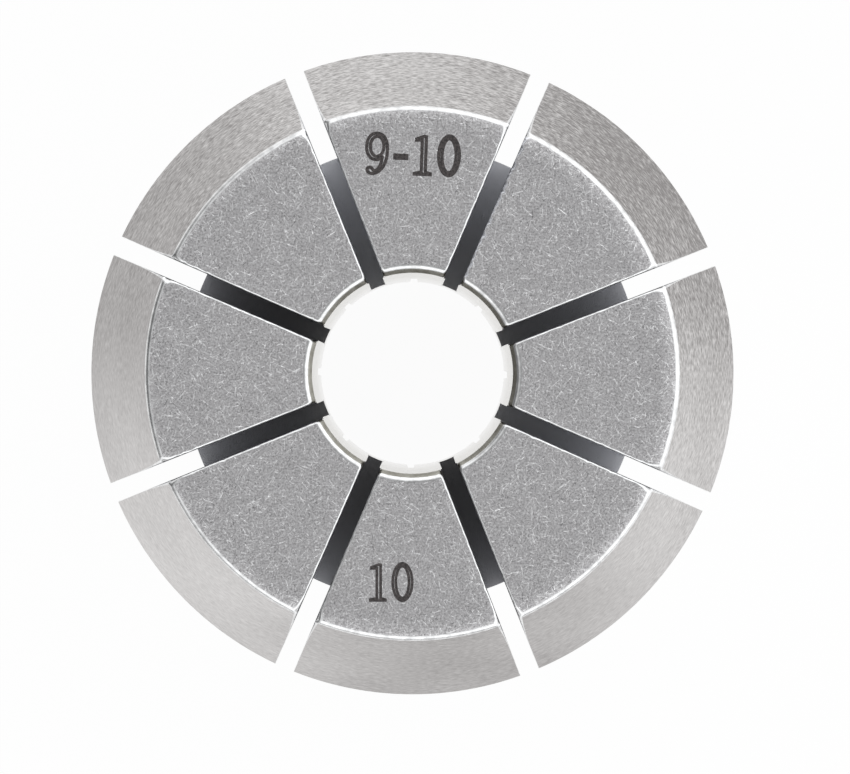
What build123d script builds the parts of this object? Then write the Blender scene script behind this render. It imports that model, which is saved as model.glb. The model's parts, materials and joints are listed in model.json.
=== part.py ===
"""Spring collet with an 8-degree taper: one ring of hardened steel that closes on a round tool shank.

The collet is a single piece. It is turned and ground as one profile about its axis, then sawn from both
ends into thin fingers that stay joined by webs. The wide front slits are parallel in depth. The thin rear
slits are narrow wedges, because that end is sprung slightly open.

It stands on its small rear end. The origin is the centre of that end, and +Z runs forward along the bore
to the large front face.
"""
from build123d import *
import os
from math import tan, radians

# Driving dimensions, in millimetres and degrees.

# Whole collet
length = 40.0                  # from the rear end to the front face

# Main taper, which seats in the holder
gauge_diameter = 32.0
gauge_depth = 7.16             # of the gauge diameter behind the front face
taper_half_angle = 8.0
rear_chamfer = 0.6

# Bore, as it stands with nothing in it
shank_diameter = 10.0          # largest shank that the collet holds
shank_clearance = 0.2          # on the diameter, so that the shank slides in by hand
bore_front_chamfer = 0.3
bore_rear_chamfer = 0.5

# Nose cone, which the clamping nut presses on
nose_overhang = 0.5            # of its back edge, the collet's widest, past the gauge diameter on each side
nose_length = 5.2              # along the axis
nose_half_angle = 30.0
tumbled_round = 0.35           # on both edges of the front face

# Land and groove, which the nut's ring snaps into to pull the collet out
land_width = 0.8
groove_depth = 1.9             # below the nose's back edge
groove_floor_width = 2.7
groove_rear_lean = 30.0        # of the groove's rear wall, from square to the axis
groove_corner_round = 0.3      # where that wall meets the floor; the front wall is square to pull on

# Slits
slits_per_end = 8
front_slit_width = 0.94        # width of the saw that cuts from the front face
rear_slit_floor = 0.3          # width of the thinner saw that cuts from the rear end
rear_slit_mouth = 0.4          # its width once sprung open, at the rear end
rear_web = 8.0                 # metal left at the rear end, behind the front slits
front_web = 25.0               # metal left at the front face, ahead of the rear slits
slit_edge_round = 0.12         # where a slit's walls meet the end it is cut from

# Sizes that follow from these.
bore_radius = (shank_diameter + shank_clearance) / 2
largest_radius = gauge_diameter / 2 + nose_overhang
groove_radius = largest_radius - groove_depth
nose_base = length - nose_length
groove_front = nose_base - land_width
groove_rear = groove_front - groove_floor_width
face_radius = largest_radius - nose_length * tan(radians(nose_half_angle))
slit_pitch = 360 / slits_per_end


def taper_radius(height):
    """Radius of the main taper at a height above the rear end."""
    below_gauge = (length - gauge_depth) - height
    return gauge_diameter / 2 - below_gauge * tan(radians(taper_half_angle))


def taper_front():
    """Point where the groove's leaning rear wall runs out into the main taper, as radius and height."""
    wall_slope = 1 / tan(radians(groove_rear_lean))
    taper_slope = tan(radians(taper_half_angle))
    run = (taper_radius(groove_rear) - groove_radius) / (wall_slope + taper_slope)
    return groove_radius + run * wall_slope, groove_rear - run


def round_corners(face, corners, radius):
    """Round the corners of a flat face that lie nearest the given points."""
    chosen = [face.vertices().sort_by_distance(corner)[0] for corner in corners]
    return fillet(chosen, radius)


def turned_blank():
    """The collet before sawing: half of its section, revolved about the bore's axis."""
    rear_edge = (taper_radius(0) - rear_chamfer, 0)
    rear_taper = (taper_radius(rear_chamfer), rear_chamfer)
    groove_floor_rear = (groove_radius, groove_rear)
    nose_edge = (face_radius, length)
    bore_edge = (bore_radius + bore_front_chamfer, length)
    section = make_face(Polyline(
        (bore_radius, bore_rear_chamfer),
        (bore_radius + bore_rear_chamfer, 0),
        rear_edge,
        rear_taper,
        taper_front(),
        groove_floor_rear,
        (groove_radius, groove_front),
        (largest_radius, groove_front),
        (largest_radius, nose_base),
        nose_edge,
        bore_edge,
        (bore_radius, length - bore_front_chamfer),
        close=True,
    ))
    section = round_corners(section, [groove_floor_rear], groove_corner_round)
    section = round_corners(section, [nose_edge, bore_edge], tumbled_round)
    return revolve(Plane.XZ * section, Axis.Z)


def slit_blade(floor_width, mouth_width, depth):
    """The space of one slit, from the open bore outward, with its mouth at height 0 and its floor below.

    Its walls run straight from floor to mouth, and flare there in a small round that blends them in.
    """
    inside_bore = bore_radius / 2
    past_outside = 2 * largest_radius
    flare = mouth_width / 2 + slit_edge_round
    floor = Line((0, -depth), (floor_width / 2, -depth))
    wall = Line(floor @ 1, (mouth_width / 2, -slit_edge_round))
    mouth = RadiusArc(wall @ 1, (flare, 0), slit_edge_round)
    above = Polyline((flare, 0), (flare, depth), (0, depth))
    half = Curve() + [floor, wall, mouth, above]
    outline = half + mirror(half, about=Plane.YZ)
    return extrude(Plane.YZ.offset(inside_bore) * make_face(outline), amount=past_outside)


def slits(blade, first_angle):
    """One end's full set of slits, evenly spaced around the bore."""
    return [Rot(0, 0, first_angle + turn * slit_pitch) * blade for turn in range(slits_per_end)]


def make_collet():
    """The finished collet. Front slits lie midway between rear slits, so the ring folds like a spring."""
    front_blade = Pos(0, 0, length) * slit_blade(front_slit_width, front_slit_width, length - rear_web)
    rear_blade = mirror(slit_blade(rear_slit_floor, rear_slit_mouth, length - front_web), about=Plane.XY)
    collet = turned_blank() - slits(front_blade, slit_pitch / 2) - slits(rear_blade, 0)
    collet.label = "collet"
    return collet


collet = make_collet()
size = collet.bounding_box().size
print(f"collet: {len(collet.solids())} solid, {collet.volume:.1f} mm3, valid {collet.is_valid}")
print(f"  box {size.X:.3f} x {size.Y:.3f} x {size.Z:.3f} mm, {len(collet.faces())} faces")

os.makedirs("parts", exist_ok=True)
export_step(collet, "parts/collet.step")
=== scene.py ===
# %% [markdown]
# # A spring collet in ground steel
#
# A collet is the slit steel sleeve that a milling machine squeezes round the shank of a cutter. This one is
# a single piece: it is turned from spring steel, sawn from both ends into thin fingers, hardened, sprung a
# little open and ground. It stands on its small end, so we look down at its large front face.
#
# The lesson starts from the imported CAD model. It gives the place and the size of everything, in metres, and
# this script never makes the object larger than it.

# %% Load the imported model
import bpy
import bmesh
import json
import math
from collections import namedtuple
from mathutils import Matrix, Vector, noise


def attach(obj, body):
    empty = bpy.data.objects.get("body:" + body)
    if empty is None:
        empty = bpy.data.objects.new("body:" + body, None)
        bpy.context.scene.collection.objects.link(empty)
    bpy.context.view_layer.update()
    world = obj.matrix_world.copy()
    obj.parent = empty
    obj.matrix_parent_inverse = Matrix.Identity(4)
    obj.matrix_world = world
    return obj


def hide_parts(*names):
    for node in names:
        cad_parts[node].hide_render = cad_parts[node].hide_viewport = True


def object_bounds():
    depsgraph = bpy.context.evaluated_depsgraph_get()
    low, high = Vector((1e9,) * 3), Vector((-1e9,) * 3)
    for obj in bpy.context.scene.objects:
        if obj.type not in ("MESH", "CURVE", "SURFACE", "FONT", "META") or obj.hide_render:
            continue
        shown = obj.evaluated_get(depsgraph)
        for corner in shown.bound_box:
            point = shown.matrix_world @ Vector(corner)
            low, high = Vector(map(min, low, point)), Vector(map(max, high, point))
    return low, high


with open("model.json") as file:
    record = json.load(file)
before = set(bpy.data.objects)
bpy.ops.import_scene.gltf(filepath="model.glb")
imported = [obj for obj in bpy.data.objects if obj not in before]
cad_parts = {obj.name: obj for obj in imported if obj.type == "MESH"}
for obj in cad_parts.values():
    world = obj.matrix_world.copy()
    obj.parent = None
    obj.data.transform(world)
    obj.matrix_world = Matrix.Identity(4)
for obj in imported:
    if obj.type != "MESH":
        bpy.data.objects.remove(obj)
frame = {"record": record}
cad_low, cad_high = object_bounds()
MM = 0.001
print("CAD box, mm:", [round(side / MM, 3) for side in cad_high - cad_low])

# %% [markdown]
# ## Sizes
#
# Each size is a named value in millimetres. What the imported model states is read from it, so that the scene
# follows the part. The rest repeats the part's own driving sizes, with small traces of tools and use that
# the model leaves out: the worn rim, front slits that spread by a few hundredths of a millimetre, the saw's
# errors.

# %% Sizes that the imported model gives
length = (cad_high.z - cad_low.z) / MM
largest_radius = (cad_high.x - cad_low.x) / 2 / MM
mounts = {mount["name"]: mount for mount in frame["record"]["mounts"]}
bore_radius = mounts["shank_bore"]["dims"]["r_mm"]
gauge_height = mounts["seat_taper"]["pos_m"][2] / MM
nose_base = mounts["nose_cone"]["pos_m"][2] / MM
print(f"length {length:.2f}, largest radius {largest_radius:.2f}, bore radius {bore_radius:.2f}")

# %% Sizes of the turned section
nose_overhang = 0.5
nose_half_angle = 30.0
taper_half_angle = 8.0
land_width = 0.8
groove_depth = 1.9
groove_floor_width = 2.7
groove_rear_lean = 30.0
groove_corner_round = 0.3
rear_chamfer = 0.6
bore_front_chamfer = 0.3
bore_rear_chamfer = 0.5
tumbled_round = 0.35
face_height = length - 0.004         # the laser marks lie on the face and reach the model's own height
rim_drop, rim_reach = 0.10, 1.0      # how far tumbling wore the face down at its rim, and how far inwards
rim_rows = (1.0, 0.8, 0.65, 0.5, 0.38, 0.28)   # distances from the rim where the worn stretch has a row


def slope(degrees):
    """How far a line that leans by an angle runs sideways for each mm that it rises."""
    return math.tan(math.radians(degrees))


face_radius = largest_radius - (length - nose_base) * slope(nose_half_angle)
groove_radius = largest_radius - groove_depth
groove_front = nose_base - land_width
groove_rear = groove_front - groove_floor_width
print(f"face radius {face_radius:.2f}, groove from {groove_rear:.2f} to {groove_front:.2f} mm up")

# %% Sizes of the slits
slits_per_end = 8
slit_pitch = 360 / slits_per_end
front_slit_width = 0.9               # at the bore's wall
front_slit_spread = 0.25             # degrees that each wall swings out, seen along the bore
front_slit_sprung = 0.042            # how much further out a wall lies at the floor, as the end is sprung
rear_slit_floor, rear_slit_mouth = 0.3, 0.4
front_slit_end = 8.0                 # height of the front slits' floors
rear_slit_end = length - 25.0        # height of the rear slits' floors
# The saw's dividing head is never perfect: these are its errors in degrees, one for each front slit.
indexing_errors = [-0.22, 0.08, 0.08, 0.08, 0.28, -0.02, -0.12, -0.12]


def taper_radius(height):
    """Radius of the main taper at a height above the rear end."""
    return largest_radius - nose_overhang - (gauge_height - height) * slope(taper_half_angle)


print(f"{slits_per_end} slits from each end, {slit_pitch:.0f} degrees apart")

# %% [markdown]
# ## The section, corner by corner
#
# Everything that a lathe makes is one outline turned about an axis. Blender has a Spin tool and a Screw
# modifier for that, but this ring is cut by sixteen slits and every cut edge is slightly rounded. So we write
# the outline as a list of corners, turn it into rows of points, and lay the columns of the mesh ourselves.
#
# The outline runs up the bore, out over the front face, down the outside and back in under the rear end. A
# corner holds its radius, its height, how much it is rounded, the finish of the stretch that leaves it, and
# the number of rows in that stretch.

# %% Corners of the section
def taper_front():
    """Where the groove's leaning rear wall runs out into the taper, as radius and height."""
    wall_slope = 1 / slope(groove_rear_lean)
    run = (taper_radius(groove_rear) - groove_radius) / (wall_slope + slope(taper_half_angle))
    return groove_radius + run * wall_slope, groove_rear - run


Corner = namedtuple("Corner", "radius height rounding finish rows")
section = [
    Corner(bore_radius, bore_rear_chamfer, 0, "honed", 3),
    Corner(bore_radius, front_slit_end, 0, "honed", 8),
    Corner(bore_radius, rear_slit_end, 0, "honed", 10),
    Corner(bore_radius, length - bore_front_chamfer, 0, "chamfered", 2),
    Corner(bore_radius + bore_front_chamfer, face_height, tumbled_round, "tumbled", 60),
    *[Corner(face_radius - away, face_height - rim_drop * (1 - away / rim_reach) ** 2, 0, "tumbled", 1)
      for away in rim_rows],
    Corner(face_radius, face_height - rim_drop, tumbled_round, "ground", 6),
    Corner(largest_radius, nose_base, 0, "ground", 1),
    Corner(largest_radius, groove_front, 0, "turned", 2),
    Corner(groove_radius, groove_front, 0, "turned", 2),
    Corner(groove_radius, groove_rear, groove_corner_round, "turned", 1),
    Corner(*taper_front(), 0, "ground", 2),
    Corner(taper_radius(rear_slit_end), rear_slit_end, 0, "ground", 8),
    Corner(taper_radius(front_slit_end), front_slit_end, 0, "ground", 4),
    Corner(taper_radius(rear_chamfer), rear_chamfer, 0, "turned", 1),
    Corner(taper_radius(0) - rear_chamfer, 0, 0, "turned", 3),
    Corner(bore_radius + bore_rear_chamfer, 0, 0, "turned", 1),
]
print(f"{len(section)} corners in the section")

# %% Rows at a corner
arc_step = math.radians(10)          # of turn, from one row to the next round a corner
Row = namedtuple("Row", "radius height inward finish")


def right_of(direction):
    """The direction into the metal, which lies on the right of the outline."""
    return Vector((direction.y, -direction.x))


def rows_at_corner(before, corner, after):
    """The rows that one corner makes: a single one if it is sharp, a fan of them if it is rounded."""
    here = Vector((corner.radius, corner.height))
    arriving = (here - Vector((before.radius, before.height))).normalized()
    leaving = (Vector((after.radius, after.height)) - here).normalized()
    turn = arriving.angle_signed(leaving, 0)
    if not corner.rounding:
        mitre = right_of(arriving) + right_of(leaving)
        return [Row(here.x, here.y, mitre * 2 / mitre.length_squared, corner.finish)]
    side = math.copysign(1, turn)
    start = here - arriving * corner.rounding * math.tan(abs(turn) / 2)
    centre = start + right_of(arriving) * corner.rounding * side
    fan = []
    steps = math.ceil(abs(turn) / arc_step)
    for step in range(steps + 1):
        inward = right_of(arriving)
        inward.rotate(Matrix.Rotation(-turn * step / steps, 2))
        spot = centre - inward * corner.rounding * side
        finish = "polished" if "tumbled" in (before.finish, corner.finish) else before.finish
        fan.append(Row(spot.x, spot.y, inward, corner.finish if step == steps else finish))
    return fan


print("rows round the rim's corner:", len(rows_at_corner(*section[10:13])))

# %% Rows of the whole section
def rows_of_section(corners):
    """All rows round the section, with the stretches between corners cut into their number of rows."""
    rows = []
    for place, corner in enumerate(corners):
        after = corners[(place + 1) % len(corners)]
        rows += rows_at_corner(corners[place - 1], corner, after)
        last = rows[-1]
        following = rows_at_corner(corner, after, corners[(place + 2) % len(corners)])[0]
        start = Vector((last.radius, last.height))
        stretch = Vector((following.radius, following.height)) - start
        for step in range(1, corner.rows):
            spot = start + stretch * step / corner.rows
            rows.append(Row(spot.x, spot.y, right_of(stretch.normalized()), corner.finish))
    return rows


rows = rows_of_section(section)
print(f"{len(rows)} rows round the section")

# %% [markdown]
# ## Fingers, slits and their edges
#
# The saw leaves sharp edges, and tumbling in a drum of stones afterwards rounds them. That rounding is what
# draws the bright line along every slit, so it has to be in the mesh: a bump map can't change an outline. A
# Bevel modifier would do it if all the edges were rounded alike. Here the front face is rounded most and the
# ground cone hardly at all, because it was ground after tumbling. So each row has its own edge radius.

# %% How wide a slit is
# Radii in mm of the rounding between each finish and a slit's wall.
edge_round_by_finish = {"tumbled": 0.12, "polished": 0.12, "chamfered": 0.12, "ground": 0.02,
                        "honed": 0.05, "turned": 0.03}
hair = 1e-6                          # mm, less than any real step between two heights


def between(value, low, high, at_low, at_high):
    """A value that runs straight from at_low to at_high, and stays level outside."""
    share = min(max((value - low) / (high - low), 0), 1)
    return at_low + (at_high - at_low) * share


def half_gap(end, height, radius):
    """Half the width of a slit. A front slit widens outward and downward, a rear slit downward."""
    if end == "front":
        return (front_slit_width / 2 + (radius - bore_radius) * slope(front_slit_spread)
                + front_slit_sprung * (length - height) / (length - front_slit_end))
    mouth_round = edge_round_by_finish["tumbled"]
    return between(height, mouth_round, rear_slit_end, rear_slit_mouth / 2, rear_slit_floor / 2)


def is_open(end, height):
    """Whether a slit is cut at a height."""
    return height > front_slit_end + hair if end == "front" else height < rear_slit_end - hair


print(f"a front slit is {2 * half_gap('front', length, bore_radius):.2f} mm wide at the face's inner corner")

# %% How round its edges are
bore_flare, bore_flare_reach = 0.05, 0.5     # more rounding where a slit meets the face's inner corner
rim_flare, rim_flare_reach = 0.24, 0.4       # and its outer corner
smoothings = 2                       # how often the radii are averaged with their neighbours


def edge_round(row):
    """Radius of the rounding between the turned surface and a slit's wall. The face's corners wear most."""
    from_bore = math.hypot(row.radius - bore_radius, length - row.height)
    from_rim = math.hypot(row.radius - face_radius, length - row.height)
    return (edge_round_by_finish[row.finish] + bore_flare * math.exp(-(from_bore / bore_flare_reach) ** 2)
            + rim_flare * math.exp(-(from_rim / rim_flare_reach) ** 2))


rounding = [edge_round(row) for row in rows]
for _ in range(smoothings):
    rounding = [(rounding[place - 1] + rounding[place] + rounding[(place + 1) % len(rows)]) / 3
                for place in range(len(rows))]
print(f"edge rounding runs from {min(rounding):.3f} to {max(rounding):.3f} mm")

# %% Columns of one finger half
# A half finger runs from the middle of a rear slit to the middle of a front slit: the rear gap, the rear
# edge, the finger itself, the front edge and the front gap.
gap_steps, edge_steps, finger_steps = 3, 6, 12
columns = ([("rear gap", step / gap_steps) for step in range(gap_steps)]
           + [("rear edge", step / edge_steps) for step in range(edge_steps + 1)]
           + [("finger", step / finger_steps) for step in range(1, finger_steps)]
           + [("front edge", 1 - step / edge_steps) for step in range(edge_steps + 1)]
           + [("front gap", 1 - step / gap_steps) for step in range(1, gap_steps + 1)])
rear_wall = gap_steps
front_wall = len(columns) - 1 - gap_steps
narrowest_edge = 0.02                # mm, so that a closed edge keeps its columns apart
print(f"{len(columns)} columns in half a finger")

# %% Nicks along the edges
roughest_wall = (1, 1)               # front slit and the rear slit beside it, where the saw chipped the edge
waves_per_mm, chips_per_mm = 2.1, 5.3


def nicks(row, wall):
    """How much rounder an edge is at a row than it should be. Every slit wall has its own nicks."""
    if row.finish != "tumbled":
        return 1.0
    waviness = noise.noise(Vector((row.radius * waves_per_mm, wall[0] * 7.7, wall[1] * 3.3))) * 0.3
    chip = noise.noise(Vector((row.radius * chips_per_mm, wall[0] * 3.1, wall[1] * 5.9)))
    if wall == roughest_wall:
        return 0.5 + max(chip + 0.15, 0) * 2.6
    return 1.0 + waviness + max(chip - 0.3, 0) * 1.2


face_row = next(row for row in rows if row.finish == "tumbled")
nicks_there = [round(nicks(face_row, (slit, slit)), 2) for slit in range(slits_per_end)]
print("nicks where the slits meet the bore:", nicks_there)

# %% Points of the mesh
honing_burr = 0.075                  # how far honing pushed the bore's edges into the front slits


def edge_point(place, end, share, wall):
    """A point on a rounded slit edge: its offset from the slit's middle, its radius and its height.

    The share runs from 0 on the slit's wall to 1 where the rounding has died out on the turned surface.
    """
    row, turn = rows[place], share * math.pi / 2
    size = rounding[place] * (nicks(row, wall) if end == "front" else 1) if is_open(end, row.height) else 0
    sink = row.inward * size * (1 - math.sin(turn))
    radius, height = row.radius + sink.x, row.height + sink.y
    spread = -honing_burr if end == "front" and row.finish == "honed" and size else max(size, narrowest_edge)
    return half_gap(end, height, radius) + spread * (1 - math.cos(turn)), radius, height


def column_point(place, column, rear_angle, front_angle, wall):
    """Angle, radius and height of the mesh point at one row and one column."""
    row, (zone, share) = rows[place], columns[column]
    side = math.copysign(1, front_angle - rear_angle)
    if zone in ("rear gap", "front gap"):
        end = zone.split()[0]
        offset, radius, height = half_gap(end, row.height, row.radius) * share, row.radius, row.height
    elif zone in ("rear edge", "front edge"):
        end = zone.split()[0]
        offset, radius, height = edge_point(place, end, share, wall)
    else:
        starts, stops = edge_point(place, "rear", 1, wall)[0], edge_point(place, "front", 1, wall)[0]
        first = rear_angle + side * math.asin(starts / row.radius)
        last = front_angle - side * math.asin(stops / row.radius)
        return first + (last - first) * share, row.radius, row.height
    swing = side * math.asin(offset / radius)
    return (rear_angle + swing if end == "rear" else front_angle - swing), radius, height


first_angle, first_radius, _ = column_point(0, front_wall, 0, math.radians(slit_pitch / 2), (0, 0))
print(f"a wall's first point: {math.degrees(first_angle):.2f} degrees, {first_radius:.2f} mm out")

# %% [markdown]
# ## Laying the mesh
#
# Sixteen half fingers make the ring. Each is a sheet of four-sided faces over the turned surface, plus the
# flat walls and floors of its two slits. A wall is one many-sided face: it is flat, so it needs no more.
# Points that two halves share are merged at the end, which closes the ring.

# %% Rows along a slit's wall
finishes = ["tumbled", "ground", "honed", "turned", "sawn", "chamfered", "polished"]


def open_rows(end):
    """The rows along one slit's wall, in order, from one end of its floor to the other."""
    floor_height = front_slit_end if end == "front" else rear_slit_end
    ends = [place for place, row in enumerate(rows) if abs(row.height - floor_height) < hair]
    first, last = (ends[0], ends[-1]) if end == "front" else (ends[-1], ends[0] + len(rows))
    return [place % len(rows) for place in range(first, last + 1)]


print("rows along a front wall and a rear wall:", len(open_rows("front")), "and", len(open_rows("rear")))

# %% The turned surface of half a finger
def add_face(mesh, corners, finish):
    """One face with its finish."""
    face = mesh.faces.new(corners)
    face.material_index = finishes.index(finish)
    face.smooth = True


def finish_of(row, low, column, wall):
    """The finish of one face. Rounded slit edges are polished, except for the one that the saw chipped."""
    zone = columns[column][0]
    on_edge = zone.endswith("edge") and columns[column + 1][0] == zone
    if not (on_edge and is_open(zone.split()[0], low) and row.finish in ("tumbled", "ground")):
        return row.finish
    chipped = wall == roughest_wall and zone == "front edge" and row.finish == "tumbled"
    return "sawn" if chipped else "polished"


def add_surface(mesh, grid, wall):
    """The turned surface, left open where a slit is."""
    for place, row in enumerate(rows):
        after = (place + 1) % len(rows)
        low, high = sorted((row.height, rows[after].height))
        for column in range(len(columns) - 1):
            in_rear_slit = column < rear_wall and low < rear_slit_end - hair
            in_front_slit = column >= front_wall and high > front_slit_end + hair
            if not (in_rear_slit or in_front_slit):
                add_face(mesh, (grid[place][column], grid[place][column + 1],
                                grid[after][column + 1], grid[after][column]),
                         finish_of(row, low, column, wall))


print("finishes:", ", ".join(finishes))

# %% Its two slits
def add_slits(mesh, grid):
    """The wall and the floor of the rear slit and of the front slit beside half a finger."""
    for end, edge, gap in (("rear", rear_wall, range(rear_wall)),
                           ("front", front_wall, range(front_wall, len(columns) - 1))):
        along = open_rows(end)
        add_face(mesh, [grid[place][edge] for place in along], "sawn")
        first, last = along[0], along[-1]
        for column in gap:
            add_face(mesh, (grid[first][column], grid[first][column + 1],
                            grid[last][column + 1], grid[last][column]), "sawn")


def add_half_finger(mesh, rear_angle, front_angle, wall):
    """A grid of points, and all the faces that hang on it."""
    grid = []
    for place in range(len(rows)):
        line = []
        for column in range(len(columns)):
            angle, radius, height = column_point(place, column, rear_angle, front_angle, wall)
            spot = Vector((radius * math.cos(angle), radius * math.sin(angle), height)) * MM
            line.append(mesh.verts.new(spot))
        grid.append(line)
    add_surface(mesh, grid, wall)
    add_slits(mesh, grid)


trial = bmesh.new()
add_half_finger(trial, 0, math.radians(slit_pitch / 2), (0, 0))
print("faces in half a finger:", len(trial.faces))
trial.free()

# %% The whole ring
merge_within = 2e-7                  # metres


def build_collet():
    """The whole ring, as one closed mesh."""
    mesh = bmesh.new()
    for slit, error in enumerate(indexing_errors):
        front_angle = math.radians((slit + 0.5) * slit_pitch + error)
        for rear_slit in (slit, slit + 1):
            add_half_finger(mesh, math.radians(rear_slit * slit_pitch), front_angle, (slit, rear_slit))
    bmesh.ops.remove_doubles(mesh, verts=mesh.verts, dist=merge_within)
    loose = [vert for vert in mesh.verts if not vert.link_faces]
    bmesh.ops.delete(mesh, geom=loose, context="VERTS")
    bmesh.ops.recalc_face_normals(mesh, faces=mesh.faces)
    data = bpy.data.meshes.new("collet_body")
    mesh.to_mesh(data)
    open_edges = sum(not edge.is_manifold for edge in mesh.edges)
    mesh.free()
    print(f"collet mesh: {len(data.vertices)} points, {len(data.polygons)} faces, {open_edges} open edges")
    return data


collet = bpy.data.objects.new("collet_body", build_collet())
bpy.context.scene.collection.objects.link(collet)

# %% Shade it smooth, with sharp corners kept
sharp_from = math.radians(20)
collet.data.set_sharp_from_angle(angle=sharp_from)
shading = collet.modifiers.new("flat faces stay flat", "WEIGHTED_NORMAL")
shading.keep_sharp = True
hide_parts("collet")
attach(collet, "root")
print(sum(edge.use_edge_sharp for edge in collet.data.edges), "edges kept sharp")

# %% [markdown]
# ## Marks
#
# A laser writes the bore size on the face, and opposite it the range of shanks that the collet holds. It
# draws each digit as a thin outline and burns the steel dark. An outline is a closed line, so a digit is a
# list of points that a smooth curve runs through, or a ring for a nought. Each line becomes a flat ribbon on
# the face.

# %% Outlines of the digits
# Millimetres, from a digit's lower left corner. Each digit has a width and its lines: corner points for
# straight ones, and the same points bent into a curve for round ones.
def oval(middle, half_width, half_height, steps=40):
    """Points round an upright ellipse."""
    turns = [math.tau * step / steps for step in range(steps)]
    return [(middle[0] + half_width * math.cos(turn), middle[1] + half_height * math.sin(turn))
            for turn in turns]


def curved(points, steps=5):
    """A closed smooth curve through points, by the Catmull-Rom rule."""
    points = [Vector(point) for point in points]
    bent = []
    for place in range(len(points)):
        first, second, third, fourth = (points[(place + step) % len(points)] for step in (-1, 0, 1, 2))
        for share in (step / steps for step in range(steps)):
            bent.append((second * 2 + (third - first) * share
                         + (first * 2 - second * 5 + third * 4 - fourth) * share ** 2
                         + (second * 3 - first - third * 3 + fourth) * share ** 3) / 2)
    return [(point.x, point.y) for point in bent]


nine = [(0.53, 1.95), (0.80, 1.86), (0.97, 1.60), (1.03, 1.22), (1.00, 0.80), (0.86, 0.40), (0.62, 0.13),
        (0.34, 0.04), (0.14, 0.12), (0.12, 0.29), (0.27, 0.33), (0.42, 0.19), (0.60, 0.26), (0.74, 0.52),
        (0.79, 0.85), (0.66, 0.74), (0.48, 0.70), (0.26, 0.78), (0.09, 1.02), (0.05, 1.35), (0.12, 1.68),
        (0.30, 1.89)]
digits = {
    "0": (1.11, [oval((0.555, 1.0), 0.49, 0.94), oval((0.555, 1.0), 0.33, 0.80)]),
    "1": (0.92, [[(0.08, 0.08), (0.84, 0.08), (0.84, 0.12), (0.60, 0.19), (0.60, 1.86), (0.50, 1.88),
                  (0.14, 1.74), (0.14, 1.68), (0.41, 1.70), (0.41, 0.19), (0.08, 0.12)]]),
    "9": (1.09, [curved(nine), oval((0.54, 1.33), 0.32, 0.47)]),
    "-": (0.72, [[(0.08, 0.80), (0.64, 0.80), (0.64, 0.95), (0.08, 0.95)]]),
}
drawn_height = 2.0                   # of the outlines above
print("lines in each digit:", {digit: len(lines) for digit, (width, lines) in digits.items()})

# %% A ribbon along a line
ribbon_sink = 0.002                  # mm that a ribbon sinks from its start to its end


def add_ribbon(mesh, line, line_width, to_face):
    """A closed flat ribbon along a line. Its sides are offset along the mitre of each corner.

    It sinks a little on its way, so that it never lies level with itself where it overlaps.
    """
    sides = []
    for place, here in enumerate(line):
        sunk = Vector((0, 0, -ribbon_sink * MM * place / len(line)))
        here, before, after = Vector(here), Vector(line[place - 1]), Vector(line[(place + 1) % len(line)])
        mitre = right_of((here - before).normalized()) + right_of((after - here).normalized())
        mitre *= line_width / max(mitre.length_squared, 0.8)
        sides.append([mesh.verts.new(to_face(here + out) + sunk) for out in (mitre, -mitre)])
    for place, (outer, inner) in enumerate(sides):
        next_outer, next_inner = sides[(place + 1) % len(sides)]
        mesh.faces.new((outer, next_outer, next_inner, inner))


print(f"a ribbon sinks by {ribbon_sink} mm")

# %% Write the marks
mark_height = length - 0.0005        # just above the face, and inside the model's height
digit_gap = 0.22
picture_turn = math.radians(0.975)   # the marks stand upright in the picture, which is turned by this much


def write(text, left, foot, height, line_width, lean=0.0):
    """A mesh of digits on the face. All its sizes are in mm, and it leans clockwise by degrees."""
    mesh = bmesh.new()
    scale = height / drawn_height
    turn = Matrix.Rotation(picture_turn, 2)
    tilt = Matrix.Rotation(-math.radians(lean), 2)
    pen = 0.0
    for digit in text:
        width, lines = digits[digit]
        for line in lines:
            def to_face(point, start=pen):
                spot = turn @ (Vector((left, foot)) + tilt @ (Vector((point.x + start, point.y)) * scale))
                return Vector((spot.x, spot.y, mark_height)) * MM
            add_ribbon(mesh, line, line_width, to_face)
        pen += width + digit_gap
    for face in mesh.faces:
        if face.normal.z < 0:
            face.normal_flip()
    data = bpy.data.meshes.new("mark_" + text)
    mesh.to_mesh(data)
    mesh.free()
    mark = bpy.data.objects.new("mark_" + text, data)
    bpy.context.scene.collection.objects.link(mark)
    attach(mark, "root")
    return mark


marks = [write("10", left=-2.22, foot=-11.60, height=2.02, line_width=0.14),
         write("9-10", left=-2.42, foot=10.10, height=2.15, line_width=0.155, lean=2.0)]
print("marks:", [mark.name for mark in marks])

# %% [markdown]
# ## Materials
#
# All of it is the same hardened spring steel, and only the way each surface was made tells them apart. Bare
# steel is a metal, so its colour is the colour of its reflection: a light, slightly warm grey. The roughness
# and the marks of the tool do the rest. Image textures could carry those marks, but noise that reads the
# place in millimetres needs no unwrapping and stays sharp at any distance. Each scale is a number to the
# millimetre.

# %% Colours
def linear(hex_colour):
    """An sRGB hex colour as the linear values that Blender works with."""
    parts = [int(hex_colour[place:place + 2], 16) / 255 for place in (1, 3, 5)]
    return [part / 12.92 if part <= 0.04045 else ((part + 0.055) / 1.055) ** 2.4 for part in parts] + [1.0]


print("the grey #808080 in linear light:", round(linear("#808080")[0], 3))

# %% Nodes
def node(tree, kind, inputs=None, stops=(), **settings):
    """Adds a node with its settings, fills or links its inputs, and sets the stops of a colour ramp."""
    made = tree.nodes.new(kind)
    for name, value in settings.items():
        setattr(made, name, value)
    for name, value in (inputs or {}).items():
        if isinstance(value, bpy.types.NodeSocket):
            tree.links.new(value, made.inputs[name])
        else:
            made.inputs[name].default_value = value
    for place, (position, colour) in enumerate(stops):
        points = made.color_ramp.elements
        point = points[place] if place < 2 else points.new(position)
        point.position, point.color = position, linear(colour)
    return made

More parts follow.
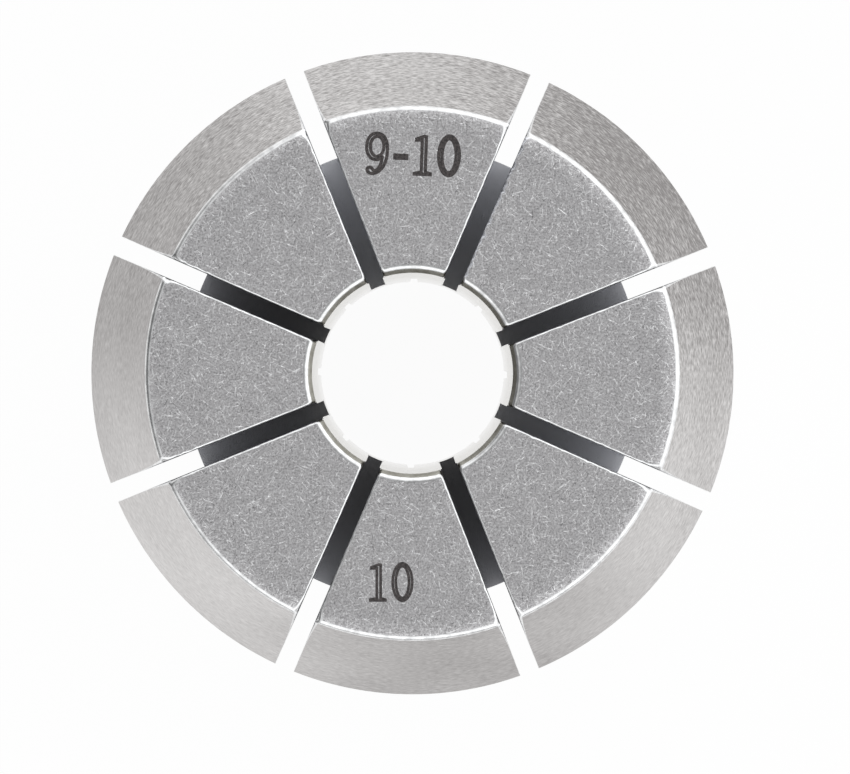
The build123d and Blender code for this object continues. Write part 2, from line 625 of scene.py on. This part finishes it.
# %% A bare metal to start from
def new_steel(name, roughness):
    """A metal material, with its shader and a place in millimetres to hang patterns on."""
    material = bpy.data.materials.new(name)
    material.use_nodes = True
    tree = material.node_tree
    shader = tree.nodes["Principled BSDF"]
    shader.inputs["Metallic"].default_value = 1.0
    shader.inputs["Roughness"].default_value = roughness
    place = node(tree, "ShaderNodeTexCoord").outputs["Object"]
    millimetres = node(tree, "ShaderNodeVectorMath", {0: place, "Scale": 1 / MM}, operation="SCALE")
    return material, tree, shader, millimetres.outputs[0]


def give(piece, material):
    """Adds a material to a piece. The collet's faces count its materials in the order of the finishes."""
    piece.data.materials.append(material)
    print("material", material.name, "with", len(material.node_tree.nodes), "nodes, on", piece.name)

# %% [markdown]
# ### Tumbled face
#
# The front face was tumbled with small stones. Each stone that slid over it left one short straight scratch,
# in any direction, and thousands of them lie over each other. One scratch is easy to draw: a Voronoi texture
# gives every cell a middle and a random colour, and we draw a thin line through the middle, turned by that
# colour. Several such layers, each shifted, give the dense felt of needles that such a face shows.

# %% One layer of scratches, as a node group
def scratch_layer(name, cell, stroke, width):
    """A node group that draws one short scratch in every cell, light or dark by chance. Sizes in mm."""
    group = bpy.data.node_groups.new(name, "ShaderNodeTree")
    group.interface.new_socket("Place", in_out="INPUT", socket_type="NodeSocketVector")
    group.interface.new_socket("Mark", in_out="OUTPUT", socket_type="NodeSocketFloat")
    place = node(group, "NodeGroupInput").outputs["Place"]
    cells = node(group, "ShaderNodeTexVoronoi", {"Vector": place, "Scale": 1 / cell},
                 voronoi_dimensions="2D", feature="F1")
    chance = node(group, "ShaderNodeSeparateColor", {"Color": cells.outputs["Color"]})
    turn = node(group, "ShaderNodeMath", {0: chance.outputs[0], 1: math.tau}, operation="MULTIPLY")
    offset = node(group, "ShaderNodeVectorMath", {0: place, 1: cells.outputs["Position"]},
                  operation="SUBTRACT")
    turned = node(group, "ShaderNodeVectorRotate", {"Vector": offset.outputs[0], "Angle": turn.outputs[0]},
                  rotation_type="Z_AXIS")
    axes = node(group, "ShaderNodeSeparateXYZ", {"Vector": turned.outputs[0]})
    along = node(group, "ShaderNodeMath", {0: axes.outputs[0]}, operation="ABSOLUTE")
    across = node(group, "ShaderNodeMath", {0: axes.outputs[1]}, operation="ABSOLUTE")
    fade_along = node(group, "ShaderNodeMapRange",
                      {"Value": along.outputs[0], 1: stroke * 0.25, 2: stroke * 0.5, 3: 1.0, 4: 0.0},
                      interpolation_type="SMOOTHSTEP")
    fade_across = node(group, "ShaderNodeMapRange",
                       {"Value": across.outputs[0], 1: 0.0, 2: width, 3: 1.0, 4: 0.0},
                       interpolation_type="SMOOTHSTEP")
    line = node(group, "ShaderNodeMath", {0: fade_along.outputs[0], 1: fade_across.outputs[0]},
                operation="MULTIPLY")
    tone = node(group, "ShaderNodeMapRange", {"Value": chance.outputs[1], 1: 0.0, 2: 1.0, 3: -1.0, 4: 1.0})
    mark = node(group, "ShaderNodeMath", {0: line.outputs[0], 1: tone.outputs[0]}, operation="MULTIPLY")
    node(group, "NodeGroupOutput", {"Mark": mark.outputs[0]})
    return group


# A stone's scratch is 0.2 to 0.6 mm long and about 0.01 mm wide. It is drawn 0.05 mm wide, or it would be
# lost between pixels. The grain between the scratches is drawn 0.1 mm coarse for the same reason.
long_scratches = scratch_layer("long scratches", cell=0.7, stroke=0.68, width=0.03)
short_scratches = scratch_layer("short scratches", cell=0.32, stroke=0.3, width=0.028)
layers_of_scratches = 10
grain_size = 0.1
print("scratch layers:", long_scratches.name, "and", short_scratches.name)

# %% The tumbled face's material
def felt_of_scratches(tree, millimetres):
    """Adds up shifted and turned layers of scratches. The sum lies around zero."""
    total = None
    for number in range(layers_of_scratches):
        group = short_scratches if number % 2 else long_scratches
        shifted = node(tree, "ShaderNodeMapping",
                       {"Vector": millimetres, "Location": (7.3 * number, 3.1 * number, 0),
                        "Rotation": (0, 0, 0.7 * number)})
        layer = node(tree, "ShaderNodeGroup", {"Place": shifted.outputs[0]}, node_tree=group).outputs["Mark"]
        if total is None:
            total = layer
        else:
            total = node(tree, "ShaderNodeMath", {0: total, 1: layer}, operation="ADD").outputs[0]
    return total


def tumbled_steel():
    """Spring steel, tumbled with stones: it gives the eye a sparkling, even grey with no direction."""
    material, tree, shader, millimetres = new_steel("tumbled_spring_steel", roughness=0.42)
    felt = felt_of_scratches(tree, millimetres)
    cloud = node(tree, "ShaderNodeTexNoise", {"Vector": millimetres, "Scale": 0.9, "Detail": 3.0})
    grain = node(tree, "ShaderNodeTexNoise", {"Vector": millimetres, "Scale": 1 / grain_size, "Detail": 1.0})
    tone = node(tree, "ShaderNodeMath", {0: felt, 1: 0.32, 2: 0.02}, operation="MULTIPLY_ADD")
    tone = node(tree, "ShaderNodeMath", {0: grain.outputs[0], 1: 0.95, 2: tone.outputs[0]},
                operation="MULTIPLY_ADD")
    tone = node(tree, "ShaderNodeMath", {0: cloud.outputs[0], 1: 0.14, 2: tone.outputs[0]},
                operation="MULTIPLY_ADD")
    colour = node(tree, "ShaderNodeValToRGB", {"Fac": tone.outputs[0]},
                  stops=((0.1, "#8A898A"), (1.0, "#FFFFFF"), (0.56, "#D2D0D1")))
    tree.links.new(colour.outputs[0], shader.inputs["Base Color"])
    bump = node(tree, "ShaderNodeBump", {"Height": felt, "Distance": 0.004 * MM, "Strength": 1.0})
    tree.links.new(bump.outputs[0], shader.inputs["Normal"])
    return material


give(collet, tumbled_steel())

# %% [markdown]
# ### Ground cone and taper
#
# A grinding wheel turns about nearly the same axis as the work, so every grain leaves a line that runs round
# the cone. We stretch a noise along that direction. Angles would tear the pattern where they jump from 180 to
# -180 degrees, so the noise reads the direction from the axis instead, which closes on itself.

# %% Patterns that follow the axis
def round_the_axis(tree, millimetres, circle, per_mm):
    """A place for patterns that run round the axis: a circle in the noise, that rises with the height.

    At some radius in mm, a line of such a pattern is about radius / circle long and 1 / per_mm high.
    """
    flat = node(tree, "ShaderNodeVectorMath", {0: millimetres, 1: (1, 1, 0)}, operation="MULTIPLY")
    direction = node(tree, "ShaderNodeVectorMath", {0: flat.outputs[0]}, operation="NORMALIZE")
    around = node(tree, "ShaderNodeVectorMath", {0: direction.outputs[0], "Scale": circle}, operation="SCALE")
    up = node(tree, "ShaderNodeVectorMath", {0: millimetres, 1: (0, 0, per_mm)}, operation="MULTIPLY")
    place = node(tree, "ShaderNodeVectorMath", {0: around.outputs[0], 1: up.outputs[0]}, operation="ADD")
    return place.outputs[0]


first_painted_lobe = -22.0                    # degrees, where the first of the three painted bright lobes lies


def three_painted_lobes(tree, millimetres):
    """Swings between -1 and 1 three times in a turn: painted light and shade, lighter and darker three times
    round the ring.
    """
    axes = node(tree, "ShaderNodeSeparateXYZ", {"Vector": millimetres})
    angle = node(tree, "ShaderNodeMath", {0: axes.outputs[1], 1: axes.outputs[0]}, operation="ARCTAN2")
    turns = node(tree, "ShaderNodeMath", {0: angle.outputs[0], 1: 3.0, 2: -3 * math.radians(first_painted_lobe)},
                 operation="MULTIPLY_ADD")
    return node(tree, "ShaderNodeMath", {0: turns.outputs[0]}, operation="COSINE").outputs[0]


def level_direction(degrees):
    """A direction that lies level, from its angle."""
    return math.cos(math.radians(degrees)), math.sin(math.radians(degrees)), 0


def across_the_axis(tree, millimetres, towards):
    """Runs from -1 to 1 across the ring, and is 1 on the side that lies at an angle in degrees."""
    flat = node(tree, "ShaderNodeVectorMath", {0: millimetres, 1: (1, 1, 0)}, operation="MULTIPLY")
    direction = node(tree, "ShaderNodeVectorMath", {0: flat.outputs[0]}, operation="NORMALIZE")
    return node(tree, "ShaderNodeVectorMath", {0: direction.outputs[0], 1: level_direction(towards)},
                operation="DOT_PRODUCT").outputs["Value"]


# the angles where the painted light of the three lobes is brightest
print("the painted lobes are brightest at", [first_painted_lobe + 120 * bright_lobe for bright_lobe in range(3)], "degrees")

# %% The ground material
# The wheel's grains leave lines about 0.01 mm apart. They are drawn 0.07 mm apart, or they wouldn't show.
painted_shade_side = 66.0                     # degrees, the side of the cone painted darker, with stronger lines: painted shade of darker surroundings that it mirrors
ground_line = {"circle": 46.0, "per_mm": 14.0}
ground_band = {"circle": 3.0, "per_mm": 0.4}


def ground_steel():
    """Spring steel, ground on a cylindrical grinder: short fine lines round the cone, and a soft shine.

    Three lobes of painted light and shade run round the cone. One side is painted darker and its lines have
    stronger contrast: painted reflections of brighter and darker surroundings.
    The taper below was ground once more, finer.
    """
    material, tree, shader, millimetres = new_steel("ground_spring_steel", roughness=0.3)
    fine = node(tree, "ShaderNodeTexNoise", {"Vector": round_the_axis(tree, millimetres, **ground_line),
                                             "Scale": 1.0, "Detail": 2.0, "Roughness": 0.6})
    broad = node(tree, "ShaderNodeTexNoise", {"Vector": round_the_axis(tree, millimetres, **ground_band),
                                              "Scale": 1.0, "Detail": 0.0})
    # painted shade: runs to 1 on the side of the cone that is painted darker
    painted_shade = across_the_axis(tree, millimetres, painted_shade_side)
    tone = node(tree, "ShaderNodeMath", {0: broad.outputs[0], 1: 0.16, 2: 0.42}, operation="MULTIPLY_ADD")
    # painted light and shade: three lighter and darker lobes round the cone
    tone = node(tree, "ShaderNodeMath", {0: three_painted_lobes(tree, millimetres), 1: 0.17, 2: tone.outputs[0]},
                operation="MULTIPLY_ADD")
    # painted shade: the cone darker on one side
    tone = node(tree, "ShaderNodeMath", {0: painted_shade, 1: -0.09, 2: tone.outputs[0]}, operation="MULTIPLY_ADD")
    lines = node(tree, "ShaderNodeMath", {0: fine.outputs[0], 1: -0.5}, operation="ADD")
    # painted shade: the lines drawn in stronger contrast on that side
    line_contrast = node(tree, "ShaderNodeMapRange", {"Value": painted_shade, 1: -0.5, 2: 0.95, 3: 0.6, 4: 2.0},
                 interpolation_type="SMOOTHSTEP")
    height = node(tree, "ShaderNodeSeparateXYZ", {"Vector": millimetres}).outputs[2]
    on_cone = node(tree, "ShaderNodeMapRange",
                   {"Value": height, 1: groove_rear, 2: groove_front, 3: 0.35, 4: 1.0})
    line_contrast = node(tree, "ShaderNodeMath", {0: line_contrast.outputs[0], 1: on_cone.outputs[0]}, operation="MULTIPLY")
    tone = node(tree, "ShaderNodeMath", {0: lines.outputs[0], 1: line_contrast.outputs[0], 2: tone.outputs[0]},
                operation="MULTIPLY_ADD")
    colour = node(tree, "ShaderNodeValToRGB", {"Fac": tone.outputs[0]},
                  stops=((0.15, "#8D8A89"), (0.85, "#DDDBDA")))
    tree.links.new(colour.outputs[0], shader.inputs["Base Color"])
    bump = node(tree, "ShaderNodeBump", {"Height": fine.outputs[0], "Distance": 0.002 * MM, "Strength": 1.0})
    tree.links.new(bump.outputs[0], shader.inputs["Normal"])
    return material


give(collet, ground_steel())

# %% [markdown]
# ### Honed bore
#
# The bore is honed to size with fine stones. It nearly mirrors what lies under the collet, so a low roughness
# does most of it, and a faint noise in upright streaks does the rest.

# %% The honed material
painted_light_reach = 24.0                  # height in mm up to which the wall is painted lighter, most at its rear end: painted light from the floor below
honed_line = {"circle": 14.0, "per_mm": 1.1}


def honed_steel():
    """Spring steel, honed: a bright wall with faint streaks, painted lighter towards its rear end as painted
    light from the floor.
    """
    material, tree, shader, millimetres = new_steel("honed_spring_steel", roughness=0.18)
    lines = node(tree, "ShaderNodeTexNoise", {"Vector": round_the_axis(tree, millimetres, **honed_line),
                                              "Scale": 1.0, "Detail": 4.0})
    streaks = node(tree, "ShaderNodeValToRGB", {"Fac": lines.outputs[0]},
                   stops=((0.3, "#CFCBC2"), (0.7, "#EDEAE4")))
    height = node(tree, "ShaderNodeSeparateXYZ", {"Vector": millimetres}).outputs[2]
    # painted light: the wall turns lighter towards its rear end, where the floor's light reaches it
    painted_floor_light = node(tree, "ShaderNodeMapRange", {"Value": height, 1: 0.0, 2: painted_light_reach, 3: 1.0, 4: 0.0})
    colour = node(tree, "ShaderNodeMix", {"Factor": painted_floor_light.outputs[0], "A": streaks.outputs[0],
                                          "B": linear("#FBFAF8")}, data_type="RGBA")
    tree.links.new(colour.outputs[2], shader.inputs["Base Color"])
    return material


give(collet, honed_steel())

# %% [markdown]
# ### Turned groove and rear end
#
# Groove and rear end are left as the lathe made them, with even feed lines. The tool moved along the axis in
# the groove and across it over the rear end. The sum of radius and height grows along both paths, so its sine
# draws the lines round the axis on either.

# %% The turned material
feed = 0.12                          # mm that the tool moved in a turn


def turned_steel():
    """Spring steel, turned on a lathe: regular feed lines that catch the light."""
    material, tree, shader, millimetres = new_steel("turned_spring_steel", roughness=0.36)
    flat = node(tree, "ShaderNodeVectorMath", {0: millimetres, 1: (1, 1, 0)}, operation="MULTIPLY")
    radius = node(tree, "ShaderNodeVectorMath", {0: flat.outputs[0]}, operation="LENGTH").outputs["Value"]
    height = node(tree, "ShaderNodeSeparateXYZ", {"Vector": millimetres}).outputs[2]
    path = node(tree, "ShaderNodeMath", {0: radius, 1: height}, operation="ADD")
    turns = node(tree, "ShaderNodeMath", {0: path.outputs[0], 1: math.tau / feed}, operation="MULTIPLY")
    lines = node(tree, "ShaderNodeMath", {0: turns.outputs[0]}, operation="SINE")
    patches = node(tree, "ShaderNodeTexNoise", {"Vector": millimetres, "Scale": 0.6, "Detail": 3.0})
    colour = node(tree, "ShaderNodeValToRGB", {"Fac": patches.outputs[0]},
                  stops=((0.3, "#B2B0AD"), (0.7, "#C2C0BC")))
    tree.links.new(colour.outputs[0], shader.inputs["Base Color"])
    bump = node(tree, "ShaderNodeBump", {"Height": lines.outputs[0], "Distance": 0.002 * MM, "Strength": 0.8})
    tree.links.new(bump.outputs[0], shader.inputs["Normal"])
    return material


give(collet, turned_steel())

# %% [markdown]
# ### Sawn slits
#
# The saw left the slit walls dull, and hardening darkened them. Light that goes into a slit is turned back
# and forth between its walls and fades each time. So the colour has to be much lighter than a slit looks,
# and the renderer makes the darkness by itself.

# %% The sawn material
painted_light_side = 80.0                    # degrees, the side towards which the slits are painted lighter: painted light
clear_of_floor = (8.1, 10.0)         # heights in mm between which a wall starts to shine
clear_of_bore = (9.5, 12.0)          # radii in mm, likewise
sawn_line = {"circle": 2.0, "per_mm": 4.0}


def sawn_steel():
    """Spring steel, sawn and hardened: a dull grey skin with random stains, painted lighter and darker from
    slit to slit as painted light, and shinier outwards.
    """
    dull, shine = 0.5, 0.25
    material, tree, shader, millimetres = new_steel("sawn_spring_steel", roughness=dull)
    arcs = node(tree, "ShaderNodeTexNoise", {"Vector": round_the_axis(tree, millimetres, **sawn_line),
                                             "Scale": 1.0, "Detail": 4.0})
    tone = node(tree, "ShaderNodeMath", {0: arcs.outputs[0], 1: 0.5, 2: 0.25}, operation="MULTIPLY_ADD")
    # painted light: the slits on one side of the ring are painted lighter
    tone = node(tree, "ShaderNodeMath", {0: across_the_axis(tree, millimetres, painted_light_side), 1: 0.16,
                                         2: tone.outputs[0]}, operation="MULTIPLY_ADD")
    # painted light and shade in three lobes round the ring
    tone = node(tree, "ShaderNodeMath", {0: three_painted_lobes(tree, millimetres), 1: 0.2, 2: tone.outputs[0]},
                operation="MULTIPLY_ADD")
    colour = node(tree, "ShaderNodeValToRGB", {"Fac": tone.outputs[0]},
                  stops=((0.1, "#A4A4A8"), (0.9, "#F3F4F8")))
    tree.links.new(colour.outputs[0], shader.inputs["Base Color"])
    flat = node(tree, "ShaderNodeVectorMath", {0: millimetres, 1: (1, 1, 0)}, operation="MULTIPLY")
    radius = node(tree, "ShaderNodeVectorMath", {0: flat.outputs[0]}, operation="LENGTH").outputs["Value"]
    height = node(tree, "ShaderNodeSeparateXYZ", {"Vector": millimetres}).outputs[2]
    outside = node(tree, "ShaderNodeMapRange",
                   {"Value": radius, 1: clear_of_bore[0], 2: clear_of_bore[1], 3: 0.0, 4: shine})
    above = node(tree, "ShaderNodeMapRange",
                 {"Value": height, 1: clear_of_floor[0], 2: clear_of_floor[1], 3: 0.0, 4: 1.0})
    less = node(tree, "ShaderNodeMath", {0: outside.outputs[0], 1: above.outputs[0]}, operation="MULTIPLY")
    rough = node(tree, "ShaderNodeMath", {0: dull, 1: less.outputs[0]}, operation="SUBTRACT")
    tree.links.new(rough.outputs[0], shader.inputs["Roughness"])
    return material


give(collet, sawn_steel())

# %% [markdown]
# ### Bore chamfer and rubbed edges
#
# Two narrow finishes draw the outline of every finger. A form tool cut the bore's chamfer, which mirrors its
# own far side and so looks dark; its colour is painted darker too, as painted shade. The stones rubbed the
# outer edges bright. Both are smooth steel that differs only in colour, with a soft noise so that no edge is
# perfectly even.

# %% The chamfered and the polished material
def chamfered_steel():
    """Spring steel, cut with a smooth form tool: a thin ring painted darker, as painted shade of its own far
    side that it mirrors.
    """
    material, tree, shader, millimetres = new_steel("chamfered_spring_steel", roughness=0.3)
    stain = node(tree, "ShaderNodeTexNoise", {"Vector": millimetres, "Scale": 2.2, "Detail": 3.0})
    # painted shade: a darker colour for the far side that the chamfer mirrors
    colour = node(tree, "ShaderNodeValToRGB", {"Fac": stain.outputs[0]},
                  stops=((0.3, "#928F86"), (0.7, "#B4B2AA")))
    tree.links.new(colour.outputs[0], shader.inputs["Base Color"])
    return material


def polished_steel():
    """Spring steel, its edges polished bright by the tumbling stones: thin shining lines round every face."""
    material, tree, shader, millimetres = new_steel("polished_spring_steel", roughness=0.3)
    wear = node(tree, "ShaderNodeTexNoise", {"Vector": millimetres, "Scale": 3.0, "Detail": 4.0})
    colour = node(tree, "ShaderNodeValToRGB", {"Fac": wear.outputs[0]},
                  stops=((0.3, "#CFCFCF"), (0.6, "#F2F2F2")))
    tree.links.new(colour.outputs[0], shader.inputs["Base Color"])
    return material


give(collet, chamfered_steel())
give(collet, polished_steel())

# %% [markdown]
# ### Laser marks
#
# The laser heats the steel until it oxidises. That skin is no metal to the eye any more: it is dark, dull and
# slightly brown, so the material's metallic value goes to zero. The noise makes it patchy, as it is where the
# spots of the laser overlap.

# %% The marks' material
def laser_oxide():
    """Steel burnt by a marking laser: a dull brown-black skin that hides the shine under it."""
    material, tree, shader, millimetres = new_steel("laser_oxide", roughness=0.6)
    shader.inputs["Metallic"].default_value = 0.0
    spots = node(tree, "ShaderNodeTexNoise", {"Vector": millimetres, "Scale": 9.0, "Detail": 2.0})
    colour = node(tree, "ShaderNodeValToRGB", {"Fac": spots.outputs[0]},
                  stops=((0.35, "#211D1D"), (0.7, "#4F4948")))
    tree.links.new(colour.outputs[0], shader.inputs["Base Color"])
    return material


burnt = laser_oxide()
for mark in marks:
    give(mark, burnt)

# %% [markdown]
# ## Floor
#
# Polished steel shows its surroundings more than itself, so the surroundings are half of the picture. The
# cone mirrors the floor around the collet, and the face mirrors what hangs above. The floor is plain white
# paper. It shows as white to the camera and in reflections by the Light Path node, and stays an ordinary
# surface for the light itself, so it keeps a soft shadow.

# %% The floor
floor_half = 1.5                     # metres
paper_glow = 0.96                    # share of the white that is seen, the rest is lit paper


def white_paper():
    """Matt white paper, which the camera and mirrors see as white."""
    material = bpy.data.materials.new("white_paper")
    material.use_nodes = True
    tree = material.node_tree
    tree.nodes.clear()
    rays = node(tree, "ShaderNodeLightPath")
    seen = node(tree, "ShaderNodeMath", {0: rays.outputs["Is Camera Ray"], 1: rays.outputs["Is Glossy Ray"]},
                operation="MAXIMUM")
    seen = node(tree, "ShaderNodeMath", {0: seen.outputs[0], 1: rays.outputs["Is Transmission Ray"]},
                operation="MAXIMUM")
    share = node(tree, "ShaderNodeMath", {0: seen.outputs[0], 1: paper_glow}, operation="MULTIPLY")
    paper = node(tree, "ShaderNodeBsdfDiffuse", {"Color": linear("#F4F4F4")})
    glow = node(tree, "ShaderNodeEmission", {"Color": linear("#FFFFFF"), "Strength": 1.0})
    mixed = node(tree, "ShaderNodeMixShader", {0: share.outputs[0], 1: paper.outputs[0], 2: glow.outputs[0]})
    node(tree, "ShaderNodeOutputMaterial", {"Surface": mixed.outputs[0]})
    return material


corners = [(-floor_half, -floor_half, 0), (floor_half, -floor_half, 0),
           (floor_half, floor_half, 0), (-floor_half, floor_half, 0)]
floor_mesh = bpy.data.meshes.new("paper_floor")
floor_mesh.from_pydata(corners, [], [(0, 1, 2, 3)])
floor_mesh.materials.append(white_paper())
floor = bpy.data.objects.new("paper_floor", floor_mesh)
bpy.context.scene.collection.objects.link(floor)
print(f"paper floor, {2 * floor_half:.0f} m wide")

# %% [markdown]
# ## Light
#
# Lamps would show as hard spots in polished steel. So the collet stands in a light tent, which needs no
# lamp: a world whose brightness depends on the direction alone. Its walls are bright except in the west,
# where the room shows, and their foot is bright only in the north-east. The top holds the dark opening that
# the picture is taken through. Together they light an upright surface at about 1, so that a colour shows as
# it was written.

# %% The light
tent_bright, tent_dim, tent_top = 1.6, 0.03, 0.28
foot_bright, foot_dark = 1.4, 0.3
dim_side, foot_side = 171.0, 55.0    # degrees
foot_low, foot_high = math.sin(math.radians(3)), math.sin(math.radians(30))
opening_starts, opening_full = math.cos(math.radians(42)), math.cos(math.radians(16))


def light_tent():
    """A world that holds the tent's walls, their foot and the opening above."""
    world = bpy.data.worlds.new("light_tent")
    world.use_nodes = True
    tree = world.node_tree
    sky = node(tree, "ShaderNodeTexCoord").outputs["Generated"]
    up = node(tree, "ShaderNodeSeparateXYZ", {"Vector": sky}).outputs[2]
    dim = node(tree, "ShaderNodeVectorMath", {0: sky, 1: level_direction(dim_side)}, operation="DOT_PRODUCT")
    walls = node(tree, "ShaderNodeMapRange",
                 {"Value": dim.outputs["Value"], 1: 0.3, 2: 0.9, 3: tent_bright, 4: tent_dim},
                 interpolation_type="SMOOTHSTEP")
    lit = node(tree, "ShaderNodeVectorMath", {0: sky, 1: level_direction(foot_side)}, operation="DOT_PRODUCT")
    foot = node(tree, "ShaderNodeMapRange",
                {"Value": lit.outputs["Value"], 1: -0.6, 2: 0.7, 3: foot_dark, 4: foot_bright},
                interpolation_type="SMOOTHSTEP")
    above_foot = node(tree, "ShaderNodeMapRange", {"Value": up, 1: foot_low, 2: foot_high, 3: 0.0, 4: 1.0},
                      interpolation_type="SMOOTHSTEP")
    opening = node(tree, "ShaderNodeMapRange",
                   {"Value": up, 1: opening_starts, 2: opening_full, 3: 0.0, 4: 1.0},
                   interpolation_type="SMOOTHSTEP")
    sides = node(tree, "ShaderNodeMix", {"Factor": above_foot.outputs[0], "A": foot.outputs[0],
                                         "B": walls.outputs[0]}, data_type="FLOAT")
    level = node(tree, "ShaderNodeMix", {"Factor": opening.outputs[0], "A": sides.outputs[0],
                                         "B": tent_top}, data_type="FLOAT")
    back = tree.nodes["Background"]
    back.inputs["Color"].default_value = linear("#FBFCFD")
    tree.links.new(level.outputs[0], back.inputs["Strength"])
    return world


bpy.context.scene.world = light_tent()
print("world", bpy.context.scene.world.name, "with", len(bpy.context.scene.world.node_tree.nodes), "nodes")

# %% [markdown]
# ## Camera
#
# The camera looks straight down the bore's axis, so that bore, slits and cone are seen in their true
# outline. It stands close enough to see a little of each slit's walls. Its lens follows from that distance
# and from how many pixels a millimetre of the front face takes up.

# %% The camera
frame_width = 850                    # pixels
pixels_per_mm = 19.72                # at the front face
camera_above_face = 386.0
sensor = 36.0
picture_shift = (0.014765, -0.016176)   # of the frame's width
camera_data = bpy.data.cameras.new("camera")
camera_data.sensor_width = sensor
camera_data.lens = sensor * camera_above_face / (frame_width / pixels_per_mm)
camera_data.shift_x, camera_data.shift_y = picture_shift
camera_data.clip_start, camera_data.clip_end = 0.01, 10
camera = bpy.data.objects.new("camera", camera_data)
camera.location = (0, 0, (length + camera_above_face) * MM)
camera.rotation_euler = (0, 0, picture_turn)
bpy.context.scene.collection.objects.link(camera)
bpy.context.scene.camera = camera
print(f"lens {camera_data.lens:.1f} mm")

# %% Colour
bpy.context.scene.view_settings.view_transform = "Standard"
